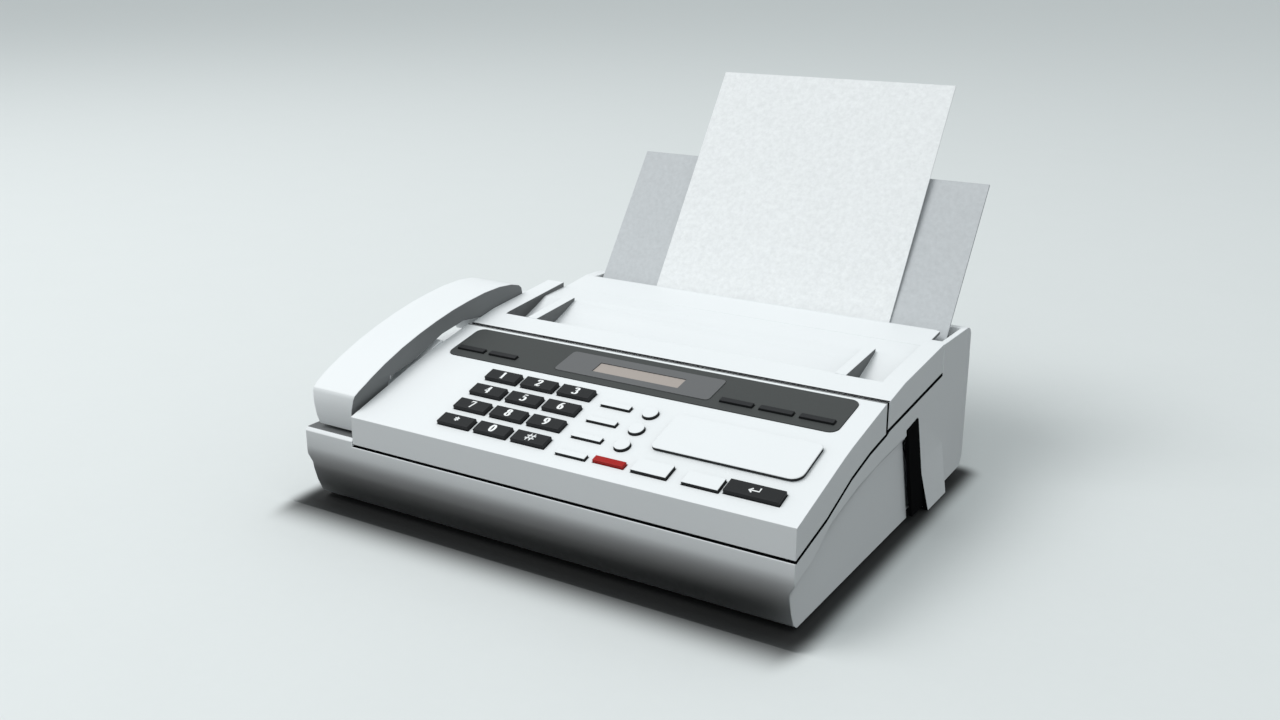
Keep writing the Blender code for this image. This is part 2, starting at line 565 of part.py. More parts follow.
def hang_moving_pieces(keys):
    """Put each moving piece, or the empty that carries it, on its joint's axis."""
    middle_x = (HANDSET_LEFT + HANDSET_RIGHT) / 2
    hook_x, hook_y = HOOK_PLACE
    cover_place = point(COVER_MIDDLE, *on_slope(*FRONT, COVER_HINGE_Y))
    cover = hang("directory_hinge", cover_place, ["directory_cover"])
    panel = hang("panel_hinge", point(*PANEL_HINGE),
                 ["panel_shell", "display_strip", "display_window", "lcd_module", "panel_board",
                  "image_sensor"] + keys)
    cover.parent = panel
    cover.matrix_parent_inverse = Matrix.Translation(-panel.location)
    lid = hang("lid_hinge", point(*LID_HINGE), ["lid_shell"])
    for side, left in GUIDE_LEFTS.items():
        slide = hang(f"guide_{side}_slide", point(left + GUIDE_WIDTH / 2, 160.0, 106.0), [f"guide_{side}"])
        slide.parent = lid
        slide.matrix_parent_inverse = Matrix.Translation(-lid.location)
    hang("handset_lift", point(middle_x, MIDDLE_Y / 2, 61.0),
         ["handset_upper_shell", "handset_lower_shell", "handset_microphone", "handset_receiver"])
    hang("hook_slide", point(hook_x, hook_y, 60.0), ["hook_plunger"])
    hang("paper_slide", point(PAPER_LEFT + PAPER_WIDTH / 2, *PAPER_SLOT), ["recording_paper"])
    hang("support_slide", point((SUPPORT_LEFT + SUPPORT_RIGHT) / 2, *SUPPORT_SLOT), ["paper_support"])
    for name, centre, piece in (("platen_spin", PLATEN_CENTRE, "platen_roller"),
                                ("motor_spin", MOTOR_CENTRE, "motor_gear"),
                                ("document_spin", DOCUMENT_ROLLER_CENTRE, "document_roller"),
                                ("film_spin", FILM_ROLL_CENTRE, "film_supply_roll")):
        hang(name, point(WIDTH / 2, *centre), [piece])


def build():
    clear_scene()
    parts = {
        "white": finish("white_plastic", (0.88, 0.90, 0.91), 0.45),
        "grey": finish("grey_plastic", (0.50, 0.53, 0.55), 0.5),
        "black": finish("black_plastic", (0.022, 0.023, 0.025), 0.4),
        "strip": finish("strip_plastic", (0.062, 0.066, 0.064), 0.45),
        "window": finish("window_plastic", (0.16, 0.16, 0.165), 0.25),
        "screen": finish("screen", (0.42, 0.36, 0.33), 0.3),
        "red": finish("red_plastic", (0.55, 0.02, 0.012), 0.35),
        "rubber": finish("rubber", (0.03, 0.03, 0.03), 0.8),
        "board": finish("circuit_board", (0.02, 0.16, 0.07), 0.5),
        "steel": finish("steel", (0.6, 0.61, 0.63), 0.35, 1.0),
        "brass": finish("brass", (0.7, 0.52, 0.22), 0.35, 1.0),
        "paper": finish("paper", (0.9, 0.9, 0.9), 0.85),
        "support": finish("support_card", (0.55, 0.58, 0.6), 0.6),
    }
    make_lower_case(parts["white"])
    make_rear_cover(parts["white"])
    for name, x, y in (("foot_front_left", 30.0, 30.0), ("foot_front_right", 370.0, 30.0),
                       ("foot_rear_left", 30.0, 245.0), ("foot_rear_right", 370.0, 245.0)):
        make_foot(name, x, y, parts["rubber"])
    buttons = button_table()
    make_panel(parts, buttons)
    make_lid(parts)
    make_handset(parts)
    hook_x, hook_y = HOOK_PLACE
    block("hook_plunger", (hook_x - 4.0, hook_y - 4.0, 46.0), (hook_x + 4.0, hook_y + 4.0, 60.6),
          parts["grey"])
    leaning_sheet("recording_paper", PAPER_LEFT, PAPER_LEFT + PAPER_WIDTH, PAPER_SLOT, PAPER_LEAN,
                  PAPER_ABOVE, PAPER_BELOW, PAPER_THICK, parts["paper"])
    leaning_sheet("paper_support", SUPPORT_LEFT, SUPPORT_RIGHT, SUPPORT_SLOT, SUPPORT_LEAN,
                  SUPPORT_ABOVE, SUPPORT_BELOW, SUPPORT_THICK, parts["support"])
    make_drive(parts)
    make_socket("power_socket", (340.0, 296.0, 24.0), (366.0, 310.6, 44.0), [(344.0, 362.0, 29.0, 39.0)],
                parts["black"])
    make_socket("line_socket", (80.0, 296.0, 24.0), (114.0, 310.6, 40.0),
                [(83.0, 95.0, 27.0, 36.0), (99.0, 111.0, 27.0, 36.0)], parts["black"])
    hang_moving_pieces([button[0] for button in buttons])


build()
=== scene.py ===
"""The looks of a desktop fax machine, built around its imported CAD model."""

import json
import math

import bmesh
import bpy
from mathutils import Matrix, Vector


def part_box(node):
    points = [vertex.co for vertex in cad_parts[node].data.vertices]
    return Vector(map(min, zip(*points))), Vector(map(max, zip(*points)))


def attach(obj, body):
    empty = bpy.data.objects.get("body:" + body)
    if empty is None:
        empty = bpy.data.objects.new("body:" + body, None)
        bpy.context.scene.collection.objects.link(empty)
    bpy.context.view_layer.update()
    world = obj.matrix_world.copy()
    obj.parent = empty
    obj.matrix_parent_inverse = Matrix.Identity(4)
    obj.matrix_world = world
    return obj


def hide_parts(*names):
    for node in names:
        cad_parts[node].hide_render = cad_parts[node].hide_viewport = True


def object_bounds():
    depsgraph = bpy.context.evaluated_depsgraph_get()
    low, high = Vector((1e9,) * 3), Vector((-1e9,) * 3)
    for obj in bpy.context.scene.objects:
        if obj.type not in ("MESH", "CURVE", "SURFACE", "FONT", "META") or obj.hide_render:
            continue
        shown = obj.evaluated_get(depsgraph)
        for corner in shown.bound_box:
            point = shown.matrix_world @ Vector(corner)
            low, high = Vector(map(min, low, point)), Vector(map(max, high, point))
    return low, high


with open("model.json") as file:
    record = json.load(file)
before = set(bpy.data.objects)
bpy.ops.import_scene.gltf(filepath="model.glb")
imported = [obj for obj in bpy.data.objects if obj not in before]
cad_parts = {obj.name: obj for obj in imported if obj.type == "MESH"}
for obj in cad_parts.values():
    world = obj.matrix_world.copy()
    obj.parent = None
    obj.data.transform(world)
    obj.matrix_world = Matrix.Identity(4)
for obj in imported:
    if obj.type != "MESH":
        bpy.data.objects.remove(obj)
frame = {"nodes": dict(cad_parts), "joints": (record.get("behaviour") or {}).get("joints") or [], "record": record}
cad_low, cad_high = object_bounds()
NODES = frame["nodes"]
BODY_OF = {node: body for body, nodes in frame["record"]["behaviour"]["bodies"].items() for node in nodes}
SLOT_OF = {row["node"]: row["material_slot"] for row in frame["record"]["subparts"]}
MM = 0.001


# ---------------------------------------------------------------- camera, light and floor
CAMERA_PLACE = (0.4864, -0.84146, 0.40733)
CAMERA_TURN = (71.839, 0.0, 31.669)
LENS_MM = 36.65
SENSOR_WIDTH_MM = 36.0
KEY_PLACE, KEY_TARGET = (-1.8, -1.2, 3.6), (0.0, 0.0, 0.05)
KEY_SIZE, KEY_POWER = 2.5, 96.0
SKY_COLOUR, SKY_STRENGTH = (0.93, 0.985, 1.0, 1.0), 0.74
FLOOR_REACH = 40.0
FLOOR_COLOUR = (0.665, 0.69, 0.688)
FLOOR_FOR_LIGHT = (0.10, 0.105, 0.105, 1.0)  # the floor's tone for every ray but the camera's
# The floor's shade falls off from FADE_START to FADE_END, counted from a line just inside the case's outline,
# and SIDE_FADE times sooner at the sides and behind than in front.
FADE_START, FADE_END, SIDE_FADE, DARKEST = 6 * MM, 62 * MM, 2.6, 0.02
FRONT_INSET, SIDE_INSET = 12 * MM, 6 * MM
FLAG_GAP, FLAG_BOTTOM, FLAG_TOP = 10 * MM, 1 * MM, 44 * MM
# Socket numbers of a Mix node for colours.
MIX_FACTOR, MIX_FIRST, MIX_SECOND, MIX_RESULT = 0, 6, 7, 2


def make_camera():
    data = bpy.data.cameras.new("camera")
    data.lens = LENS_MM
    data.sensor_width = SENSOR_WIDTH_MM
    camera = bpy.data.objects.new("camera", data)
    camera.location = CAMERA_PLACE
    camera.rotation_euler = [math.radians(turn) for turn in CAMERA_TURN]
    bpy.context.scene.collection.objects.link(camera)
    bpy.context.scene.camera = camera


def make_light(name, place, target, size, power):
    """A square soft light that faces its target."""
    data = bpy.data.lights.new(name, "AREA")
    data.shape = "RECTANGLE"
    data.size, data.size_y = size, size
    data.energy = power
    light = bpy.data.objects.new(name, data)
    light.location = place
    light.rotation_euler = (Vector(target) - Vector(place)).to_track_quat("-Z", "Y").to_euler()
    bpy.context.scene.collection.objects.link(light)


def floor_material():
    """A pale matt floor that throws little light back and darkens where the machine meets it."""
    material = surface("floor", FLOOR_COLOUR, 0.9, grain=0.02, grain_size=2.5)
    tree = material.node_tree
    shade_floor_near_machine(tree)
    dark = node(tree, "ShaderNodeBsdfDiffuse", Color=FLOOR_FOR_LIGHT)
    path = tree.nodes.new("ShaderNodeLightPath")
    mix = tree.nodes.new("ShaderNodeMixShader")
    tree.links.new(path.outputs["Is Camera Ray"], mix.inputs[0])
    tree.links.new(dark.outputs[0], mix.inputs[1])
    tree.links.new(tree.nodes["Principled BSDF"].outputs[0], mix.inputs[2])
    tree.links.new(mix.outputs[0], tree.nodes["Material Output"].inputs["Surface"])
    return material


def math_node(tree, operation, first, second=None):
    """Add a math node and give back its output; its terms are numbers or other outputs."""
    made = tree.nodes.new("ShaderNodeMath")
    made.operation = operation
    for socket, value in zip(made.inputs, (first, second)):
        if isinstance(value, (int, float)):
            socket.default_value = value
        elif value is not None:
            tree.links.new(value, socket)
    return made.outputs[0]


def shade_floor_near_machine(tree):
    """Deepen the contact shadow: the floor's tone falls off close to the case, furthest in front."""
    low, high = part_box("lower_case")
    middle, half = (low + high) / 2, (high - low) / 2
    place = tree.nodes["Texture Coordinate"]
    split = tree.nodes.new("ShaderNodeSeparateXYZ")
    tree.links.new(place.outputs["Object"], split.inputs[0])
    side = math_node(tree, "SUBTRACT", split.outputs["X"], middle.x)
    side = math_node(tree, "SUBTRACT", math_node(tree, "ABSOLUTE", side), half.x - SIDE_INSET)
    side = math_node(tree, "MULTIPLY", side, SIDE_FADE)
    ahead = math_node(tree, "SUBTRACT", low.y + FRONT_INSET, split.outputs["Y"])
    behind = math_node(tree, "SUBTRACT", split.outputs["Y"], high.y - SIDE_INSET)
    along = math_node(tree, "MAXIMUM", ahead, math_node(tree, "MULTIPLY", behind, SIDE_FADE))
    side, along = (math_node(tree, "MAXIMUM", value, 0.0) for value in (side, along))
    squares = [math_node(tree, "POWER", value, 2.0) for value in (side, along)]
    reach = math_node(tree, "SQRT", math_node(tree, "ADD", *squares))
    fade = node(tree, "ShaderNodeMapRange")
    fade.interpolation_type = "SMOOTHERSTEP"
    fade.inputs["From Min"].default_value = FADE_START
    fade.inputs["From Max"].default_value = FADE_END
    fade.inputs["To Min"].default_value = DARKEST
    fade.inputs["To Max"].default_value = 1.0
    tree.links.new(reach, fade.inputs["Value"])
    shader = tree.nodes["Principled BSDF"]
    source = shader.inputs["Base Color"].links[0].from_socket
    mix = tree.nodes.new("ShaderNodeMix")
    mix.data_type = "RGBA"
    mix.blend_type = "MULTIPLY"
    mix.inputs[MIX_FACTOR].default_value = 1.0
    tree.links.new(source, mix.inputs[MIX_FIRST])
    tree.links.new(fade.outputs["Result"], mix.inputs[MIX_SECOND])
    tree.links.new(mix.outputs[MIX_RESULT], shader.inputs["Base Color"])


def make_flag():
    """A low black card in front of the machine, unseen by the camera, keeps light off its foot."""
    low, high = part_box("lower_case")
    y = low.y - FLAG_GAP
    left, right = low.x - 6 * MM, high.x + 2 * MM
    mesh = bpy.data.meshes.new("flag")
    corners = [(left, y, FLAG_BOTTOM), (right, y, FLAG_BOTTOM), (right, y, FLAG_TOP), (left, y, FLAG_TOP)]
    mesh.from_pydata(corners, [], [(0, 1, 2, 3)])
    mesh.materials.append(MATERIALS["shade_black"])
    flag = bpy.data.objects.new("flag", mesh)
    flag.visible_camera = False
    flag.visible_glossy = False
    bpy.context.scene.collection.objects.link(flag)


def make_studio():
    """A pale sky, one soft key light, the floor and the card in front of the foot."""
    world = bpy.data.worlds.new("studio")
    bpy.context.scene.world = world
    world.use_nodes = True
    background = world.node_tree.nodes["Background"]
    background.inputs["Color"].default_value = SKY_COLOUR
    background.inputs["Strength"].default_value = SKY_STRENGTH
    make_light("key", KEY_PLACE, KEY_TARGET, KEY_SIZE, KEY_POWER)
    mesh = bpy.data.meshes.new("floor")
    far = FLOOR_REACH
    mesh.from_pydata([(-far, -far, 0), (far, -far, 0), (far, far, 0), (-far, far, 0)], [], [(0, 1, 2, 3)])
    floor = bpy.data.objects.new("floor", mesh)
    bpy.context.scene.collection.objects.link(floor)
    mesh.materials.append(floor_material())
    make_flag()
    bpy.context.scene.view_settings.view_transform = "Standard"


# ---------------------------------------------------------------- materials
GRAINS_PER_CELL = 4  # a cell of the noise is four grains wide, and its finer octaves draw the grains
CLOUD_SCALE = 14.0


def node(tree, kind, **inputs):
    """Add a node and set the inputs that are named."""
    made = tree.nodes.new(kind)
    for name, value in inputs.items():
        made.inputs[name].default_value = value
    return made


def surface(name, colour, rough, metal=0.0, grain=0.05, grain_size=0.35, rough_spread=0.06, bump=0.15,
            bump_depth=0.05, specular=0.5, speckle=0.0, cloudy=0.5):
    """A moulded or sheet surface: cloudy tone, fine grain in colour and bump, uneven gloss. Sizes in mm."""
    material = bpy.data.materials.new(name)
    material.use_nodes = True
    tree = material.node_tree
    shader = tree.nodes["Principled BSDF"]
    shader.inputs["Metallic"].default_value = metal
    shader.inputs["Specular IOR Level"].default_value = specular
    place = node(tree, "ShaderNodeTexCoord")
    fine = node(tree, "ShaderNodeTexNoise", Scale=1000.0 / grain_size / GRAINS_PER_CELL, Detail=3.0,
                Roughness=0.6)
    cloud = node(tree, "ShaderNodeTexNoise", Scale=CLOUD_SCALE, Detail=4.0, Roughness=0.55)
    for texture in (fine, cloud):
        tree.links.new(place.outputs["Object"], texture.inputs["Vector"])
    tone = node(tree, "ShaderNodeMix")
    tone.data_type = "RGBA"
    low = [max(0.0, c * (1.0 - grain)) for c in colour]
    high = [min(1.0, c * (1.0 + grain)) for c in colour]
    tone.inputs[MIX_FIRST].default_value = (*low, 1.0)
    tone.inputs[MIX_SECOND].default_value = (*high, 1.0)
    blend = node(tree, "ShaderNodeMath")
    blend.operation = "MULTIPLY_ADD"
    blend.inputs[1].default_value = 0.5 + speckle
    tree.links.new(fine.outputs["Fac"], blend.inputs[0])
    half = node(tree, "ShaderNodeMath")
    half.operation = "MULTIPLY"
    half.inputs[1].default_value = cloudy
    tree.links.new(cloud.outputs["Fac"], half.inputs[0])
    tree.links.new(half.outputs[0], blend.inputs[2])
    tree.links.new(blend.outputs[0], tone.inputs[MIX_FACTOR])
    tree.links.new(tone.outputs[MIX_RESULT], shader.inputs["Base Color"])
    gloss = node(tree, "ShaderNodeMapRange")
    gloss.inputs["To Min"].default_value = rough - rough_spread
    gloss.inputs["To Max"].default_value = rough + rough_spread
    tree.links.new(cloud.outputs["Fac"], gloss.inputs["Value"])
    tree.links.new(gloss.outputs["Result"], shader.inputs["Roughness"])
    relief = node(tree, "ShaderNodeBump", Strength=bump, Distance=bump_depth * MM)
    tree.links.new(fine.outputs["Fac"], relief.inputs["Height"])
    tree.links.new(relief.outputs["Normal"], shader.inputs["Normal"])
    return material


MATERIALS = {}


def make_materials():
    MATERIALS.update({
        "white": surface("white_plastic", (0.77, 0.79, 0.80), 0.45, grain=0.03, bump=0.25, specular=0.35),
        # Dark grey painted shade for the recess walls, the cradle floor and the guides' sides.
        "shaded": surface("painted_recess_shade", (0.13, 0.135, 0.137), 0.5, grain=0.05, bump=0.22, specular=0.2),
        # A darker grey painted shade for the handset's sides.
        "handset_side_shade": surface("painted_handset_side_shade", (0.165, 0.172, 0.175), 0.55, grain=0.1, bump=0.3, specular=0.2),
        "grey": surface("grey_plastic", (0.45, 0.48, 0.50), 0.5, grain=0.04, bump=0.25),
        "black": surface("black_plastic", (0.016, 0.0168, 0.018), 0.45, grain=0.25, bump=0.3, specular=0.16),
        "strip": surface("strip_plastic", (0.050, 0.0535, 0.0525), 0.5, grain=0.08, bump=0.2, specular=0.2),
        "window": surface("window_plastic", (0.118, 0.120, 0.123), 0.4, grain=0.04, bump=0.03, specular=0.25),
        "screen": surface("screen", (0.37, 0.325, 0.295), 0.4, grain=0.04, bump=0.03, specular=0.25),
        "red": surface("red_plastic", (0.35, 0.006, 0.0035), 0.4, grain=0.08, bump=0.15, specular=0.2),
        "rubber": surface("rubber", (0.03, 0.03, 0.031), 0.8, grain=0.2, bump=0.5, bump_depth=0.1,
                          specular=0.2),
        "board": surface("circuit_board", (0.02, 0.15, 0.07), 0.4, grain=0.2, grain_size=1.5, bump=0.2),
        "steel": surface("steel", (0.6, 0.61, 0.63), 0.33, metal=1.0, grain=0.04, bump=0.1),
        "brass": surface("brass", (0.7, 0.52, 0.22), 0.3, metal=1.0, grain=0.05, bump=0.1),
        "paper": surface("paper", (0.81, 0.825, 0.83), 0.9, grain=0.16, grain_size=0.9, bump=0.3,
                         bump_depth=0.06, specular=0.1, speckle=0.35, cloudy=0.08),
        "support": surface("support_plastic", (0.53, 0.55, 0.565), 0.6, grain=0.15, grain_size=0.9, bump=0.2,
                           specular=0.15, speckle=0.35, cloudy=0.08),
        # Black painted shade in the joints, slots and vent openings; the unseen flag is black too.
        "shade_black": surface("black_shade", (0.004, 0.004, 0.0045), 0.95, grain=0.3, grain_size=0.8, bump=0.4,
                        specular=0.03),
        # Painted shade for the walls of the keys and of the directory cover.
        "skirt": surface("key_skirt", (0.022, 0.023, 0.024), 0.6, grain=0.08, bump=0.2, specular=0.1),
        "ink": surface("white_ink", (0.85, 0.86, 0.86), 0.6, grain=0.02, bump=0.1, specular=0.2),
    })


# ---------------------------------------------------------------- CAD pieces with worked edges
CREASE_FROM = math.radians(35)  # an edge that turns more than this is shaded as a crease


def cleaned(node_name):
    """A bmesh copy of a CAD node with its corners joined."""
    data = bmesh.new()
    data.from_mesh(NODES[node_name].data)
    bmesh.ops.remove_doubles(data, verts=data.verts, dist=0.002 * MM)
    return data


def add_piece(name, data, material, body):
    """Make an object of bmesh data that rides on a body."""
    mesh = bpy.data.meshes.new(name)
    data.to_mesh(mesh)
    data.free()
    piece = bpy.data.objects.new(name, mesh)
    bpy.context.scene.collection.objects.link(piece)
    mesh.materials.append(MATERIALS[material])
    mesh.shade_smooth()
    mesh.set_sharp_from_angle(angle=CREASE_FROM)
    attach(piece, body)
    return piece


def soften(node_name, width, segments=3, sharp=25.0):
    """Stand in for a CAD node with the same shape whose sharp edges are rounded by a width in mm."""
    data = cleaned(node_name)
    edges = [e for e in data.edges if e.is_convex and e.calc_face_angle(0.0) > math.radians(sharp)]
    bmesh.ops.bevel(data, geom=edges, offset=width * MM, offset_type="OFFSET", segments=segments, profile=0.5,
                    affect="EDGES", clamp_overlap=False, harden_normals=False)
    slot = SLOT_OF[node_name]
    piece = add_piece(f"{node_name}_skin", data, slot, BODY_OF[node_name])
    level = piece.modifiers.new("level_shading", "WEIGHTED_NORMAL")
    level.keep_sharp = True
    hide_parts(node_name)
    return piece


# Width in mm of the rounding on each piece's edges.
SOFT_EDGES = {
    "panel_shell": 0.3, "lid_shell": 0.4, "lower_case": 0.4, "rear_cover": 0.4, "handset_upper_shell": 0.5,
    "directory_cover": 0.2, "guide_left": 0.3, "guide_right": 0.3,
    "display_strip": 0.15, "display_window": 0.15,
}
KEY_EDGE = 0.15
# Pieces whose walls get painted shade.
WALL_SHADED = ("directory_cover", "menu_key", "copy_key", "function_key", "round_key")
PRESS_AXIS = {joint["child"]: Vector(joint["axis"])
              for joint in frame["joints"] if joint["name"].endswith("_press")}
FRONT_NORMAL = PRESS_AXIS["key_5_button"]
WALL_LEAN = 0.35  # a face is a key's wall when its normal has less than this along the front's
# The recess's walls lie this far inside the lid's sides, and the lid's front face ends this far below its
# top.
RECESS_INSET, LID_FRONT_DROP = 8 * MM, 10 * MM
# Heights above the table. The rim's upper limit is a rise above the panel's lowest point.
RIM_BOTTOM, CRADLE_FLOOR_TOP, SLOT_TOP, RIM_RISE = 50 * MM, 60 * MM, 82 * MM, 45 * MM
# The side slot's faces lie between two distances behind the case's front, and this deep from its side.
SLOT_START, SLOT_END, SLOT_DEPTH = 176 * MM, 228 * MM, 14 * MM


def paint(piece, material, wanted):
    """Give the faces that a test picks out another material."""
    piece.data.materials.append(MATERIALS[material])
    index = len(piece.data.materials) - 1
    for face in piece.data.polygons:
        if wanted(face):
            face.material_index = index


def paint_shade(softened):
    """Painted shade: black on the faces of the joints and the side slots, and dark grey where the machine is cut
    in and on the handset's sides.
    """
    seam_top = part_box("panel_shell")[0].z + RIM_RISE
    lid_low, lid_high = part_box("lid_shell")
    # Black painted shade on the panel's rear wall and the lid's front face, in the joint between them.
    paint(softened["panel_shell"], "shade_black", lambda face: face.normal.y > 0.9)
    paint(softened["lid_shell"], "shade_black", lambda face: face.normal.y < -0.9 and (
        face.center.z < lid_high.z - LID_FRONT_DROP and face.center.y < lid_low.y + MM))
    # Dark grey painted shade on the recess's side walls.
    paint(softened["lid_shell"], "shaded", lambda face: abs(face.normal.x) > 0.9 and (
        lid_low.x + RECESS_INSET < face.center.x < lid_high.x - RECESS_INSET))
    # Black painted shade on the case's rim under the panel and the lid, and on the side slots' walls.
    paint(softened["lower_case"], "shade_black", lambda face: face.normal.z > 0.9 and (
        face.center.x > lid_low.x and RIM_BOTTOM < face.center.z < seam_top))
    case_low, case_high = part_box("lower_case")
    slot_front, slot_rear = case_low.y + SLOT_START, case_low.y + SLOT_END
    paint(softened["lower_case"], "shade_black", lambda face: abs(face.normal.x) < 0.5 and (
        slot_front < face.center.y < slot_rear and face.center.z < SLOT_TOP
        and abs(face.center.x) > case_high.x - SLOT_DEPTH))
    # Dark grey painted shade on the cradle floor and the guides' sides, darker on the handset's sides.
    paint(softened["lower_case"], "shaded", lambda face: face.normal.z > 0.8 and (
        face.center.x < lid_low.x and face.center.z < CRADLE_FLOOR_TOP))
    for side in ("left", "right"):
        paint(softened[f"guide_{side}"], "shaded", lambda face: abs(face.normal.x) > 0.8)
    paint(softened["handset_upper_shell"], "handset_side_shade", lambda face: abs(face.normal.x) > 0.8)


def dress_cad():
    """Round the visible edges, give every CAD node its finish, and paint shade on walls, joints and recesses."""
    for name, item in NODES.items():
        item.data.materials.clear()
        item.data.materials.append(MATERIALS[SLOT_OF[name]])
    softened = {name: soften(name, width) for name, width in SOFT_EDGES.items()}
    for name in NODES:
        if "key" in name:
            softened[name] = soften(name, KEY_EDGE, segments=2, sharp=20.0)
    # Painted shade on those pieces' walls.
    for name, piece in softened.items():
        if name.startswith(WALL_SHADED):
            paint(piece, "skirt", lambda face: abs(face.normal.dot(FRONT_NORMAL)) < WALL_LEAN)
    paint_shade(softened)


# ---------------------------------------------------------------- printed figures on the keys
THICK, THIN, PEN_TURN = 0.25, 0.10, 1.3  # a stroke thickens as it turns upright, by this power
FIGURE_HEIGHT, ARROW_HEIGHT, INK_HEIGHT, INK_GAP = 7.6, 6.8, 0.06, 0.01


def ellipse(x, y, across, up, count=28):
    turns = [math.tau * i / count for i in range(count + 1)]
    return [(x + across * math.cos(t), y + up * math.sin(t)) for t in turns]


def curve_through(points, steps=6):
    """A smooth line through a few points."""
    ends = [points[0]] + list(points) + [points[-1]]
    line = []
    for a, b, c, d in zip(ends, ends[1:], ends[2:], ends[3:]):
        for i in range(steps):
            t = i / steps
            line.append(tuple(0.5 * (2 * q + (r - p) * t + (2 * p - 5 * q + 4 * r - s) * t * t
                                     + (3 * q - p - 3 * r + s) * t ** 3)
                              for p, q, r, s in zip(a, b, c, d)))
    return line + [points[-1]]


SIX = [(0.47, 0.93), (0.28, 0.85), (0.14, 0.62), (0.10, 0.34), (0.16, 0.11), (0.30, 0.03), (0.44, 0.12),
       (0.49, 0.31), (0.42, 0.50), (0.28, 0.56), (0.14, 0.46)]
# A figure is a list of strokes: a line, and the pen's width where it isn't the usual thick and thin.
FIGURES = {
    "0": [(ellipse(0.30, 0.5, 0.21, 0.45), None)],
    "1": [([(0.30, 0.02), (0.30, 0.98)], None), ([(0.12, 0.03), (0.48, 0.03)], 0.06),
          ([(0.12, 0.84), (0.30, 0.96)], 0.07)],
    "2": [(curve_through([(0.08, 0.72), (0.15, 0.90), (0.30, 0.96), (0.45, 0.88), (0.47, 0.70), (0.36, 0.46),
                          (0.18, 0.20), (0.06, 0.07)]), None), ([(0.04, 0.07), (0.52, 0.07)], 0.13),
          ([(0.52, 0.07), (0.55, 0.24)], 0.06)],
    "3": [(curve_through([(0.08, 0.78), (0.16, 0.92), (0.29, 0.96), (0.42, 0.88), (0.43, 0.70), (0.34, 0.57),
                          (0.20, 0.53)]), None),
          (curve_through([(0.20, 0.53), (0.38, 0.49), (0.48, 0.33), (0.43, 0.12), (0.28, 0.04), (0.12, 0.08),
                          (0.06, 0.20)]), None)],
    "4": [([(0.38, 0.98), (0.04, 0.33)], 0.06), ([(0.02, 0.32), (0.58, 0.32)], 0.09),
          ([(0.40, 0.98), (0.40, 0.02)], None), ([(0.26, 0.03), (0.54, 0.03)], 0.06)],
    "5": [([(0.13, 0.92), (0.50, 0.92)], 0.13), ([(0.15, 0.95), (0.11, 0.54)], 0.06),
          (curve_through([(0.11, 0.54), (0.26, 0.62), (0.42, 0.55), (0.48, 0.35), (0.42, 0.12), (0.26, 0.04),
                          (0.11, 0.08), (0.06, 0.18)]), None)],
    "6": [(curve_through(SIX), None)],
    "7": [([(0.06, 0.91), (0.55, 0.91)], 0.13), ([(0.50, 0.90), (0.22, 0.02)], 0.15),
          ([(0.06, 0.95), (0.04, 0.72)], 0.06)],
    "8": [(ellipse(0.30, 0.74, 0.16, 0.21), None), (ellipse(0.30, 0.27, 0.20, 0.23), None)],
    "9": [(curve_through([(0.58 - x, 1.0 - y) for x, y in SIX]), None)],
    "star": [([(0.30 - 0.27 * math.cos(t), 0.60 - 0.30 * math.sin(t)),
               (0.30 + 0.27 * math.cos(t), 0.60 + 0.30 * math.sin(t))], 0.13)
             for t in (math.pi / 2, math.pi / 6, 5 * math.pi / 6)],
    "hash": [([(0.18, 0.02), (0.42, 0.98)], 0.11), ([(0.58, 0.02), (0.82, 0.98)], 0.11),
             ([(0.0, 0.33), (0.95, 0.33)], 0.12), ([(0.06, 0.68), (1.0, 0.68)], 0.12)],
    "start": [([(1.02, 0.92), (1.02, 0.42), (0.06, 0.42)], 0.15),
              ([(0.34, 0.70), (0.0, 0.42), (0.34, 0.14)], 0.15)],
}


def draw_figure(name, strokes, node_name, height):
    """Lay a figure of printed strokes, height mm tall, on the top of a key."""
    body = BODY_OF[node_name]
    normal = PRESS_AXIS[body]
    low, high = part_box(node_name)
    middle = (low + high) / 2
    top = max(vertex.co.dot(normal) for vertex in NODES[node_name].data.vertices)
    across, along = Vector((1, 0, 0)), normal.cross(Vector((1, 0, 0)))
    all_x = [x for line, _ in strokes for x, _ in line]
    centre = Vector(((min(all_x) + max(all_x)) / 2, 0.5))
    base = middle + normal * (top - middle.dot(normal) + INK_GAP * MM)
    data = bmesh.new()
    for line, pen in strokes:
        rows = []
        for i, here in enumerate(line):
            before, after = Vector(line[max(i - 1, 0)]), Vector(line[min(i + 1, len(line) - 1)])
            way = (after - before).normalized()
            half = (pen or THIN + (THICK - THIN) * abs(way.y) ** PEN_TURN) / 2
            side = Vector((-way.y, way.x)) * half
            row = []
            for place in (Vector(here) + side, Vector(here) - side):
                flat = (place - centre) * height * MM
                row.append(data.verts.new(base + across * flat.x + along * flat.y))
            rows.append(row)
        for near, far in zip(rows, rows[1:]):
            data.faces.new((near[0], near[1], far[1], far[0]))
    for face in data.faces:
        face.normal_update()
        if face.normal.dot(normal) < 0:
            face.normal_flip()
    raised = bmesh.ops.extrude_face_region(data, geom=data.faces[:])
    top_verts = [part for part in raised["geom"] if isinstance(part, bmesh.types.BMVert)]
    bmesh.ops.translate(data, verts=top_verts, vec=normal * INK_HEIGHT * MM)
    bmesh.ops.recalc_face_normals(data, faces=data.faces)
    add_piece(name, data, "ink", body)


def print_keys():
    """The dial's figures, and a plain arrow on the start key."""
    for name, strokes in FIGURES.items():
        if name == "start":
            draw_figure("start_arrow", strokes, "start_key", ARROW_HEIGHT)
        else:
            draw_figure(f"figure_{name}", strokes, f"key_{name}", FIGURE_HEIGHT)


